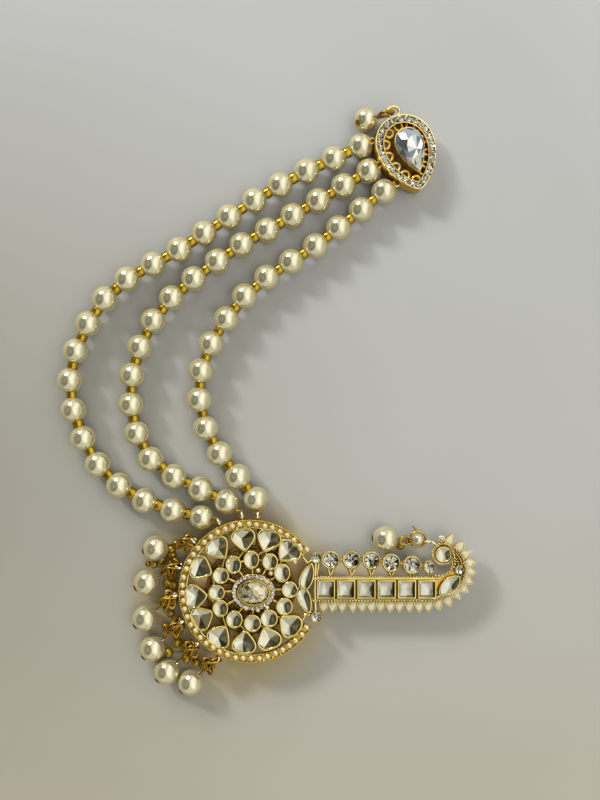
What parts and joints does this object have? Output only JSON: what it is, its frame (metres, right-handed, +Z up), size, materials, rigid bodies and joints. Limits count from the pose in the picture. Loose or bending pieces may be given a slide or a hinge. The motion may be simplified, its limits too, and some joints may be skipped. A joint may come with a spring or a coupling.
{
  "type": "turban brooch",
  "caption": "Gold-tone turban brooch: pierced stone-set medallion with a curled plume arm, a fringe of pearl drops, and strings of pearls to a pear-shaped end brooch.",
  "frame": {"origin": "middle of the outline, on the surface that the brooch lies on", "axes": "+Z up out of the face, +Y from the medallion towards the end brooch, +X along the plume arm"},
  "size_m": [0.1338, 0.1886, 0.0114],
  "materials": {
    "gold_metal": "polished pale gold plating",
    "pearl": "ivory pearl coating",
    "clear_stone": "clear cut glass over silver foil",
    "gold_glass": "lined amber glass seed beads",
    "cream_enamel": "cream enamel"
  },
  "bodies": {
    "root": {"setting": "gold_metal", "medallion_pin": "gold_metal", "end_setting": "gold_metal", "end_pin": "gold_metal", "fringe_ring_1": "gold_metal", "fringe_ring_2": "gold_metal", "fringe_ring_3": "gold_metal", "fringe_ring_4": "gold_metal", "fringe_ring_5": "gold_metal", "fringe_ring_6": "gold_metal", "tip_ring": "gold_metal", "end_ring": "gold_metal", "petal_stone_1": "clear_stone", "petal_stone_2": "clear_stone", "petal_stone_3": "clear_stone", "petal_stone_4": "clear_stone", "petal_stone_5": "clear_stone", "petal_stone_6": "clear_stone", "petal_stone_7": "clear_stone", "petal_stone_8": "clear_stone", "petal_stone_9": "clear_stone", "petal_stone_10": "clear_stone", "petal_stone_11": "clear_stone", "upper_leaf_stone": "clear_stone", "lower_leaf_stone": "clear_stone", "oval_stone": "clear_stone", "square_stone_1": "clear_stone", "square_stone_2": "clear_stone", "square_stone_3": "clear_stone", "square_stone_4": "clear_stone", "square_stone_5": "clear_stone", "square_stone_6": "clear_stone", "marquise_stone": "clear_stone", "tip_stone": "clear_stone", "pear_stone": "clear_stone", "fringe_drop_1": "pearl", "fringe_drop_2": "pearl", "fringe_drop_3": "pearl", "fringe_drop_4": "pearl", "fringe_drop_5": "pearl", "fringe_drop_6": "pearl", "tip_drop": "pearl", "end_drop": "pearl", "outer_string": "pearl", "middle_string": "pearl", "inner_string": "pearl"}
  },
  "joints": []
}
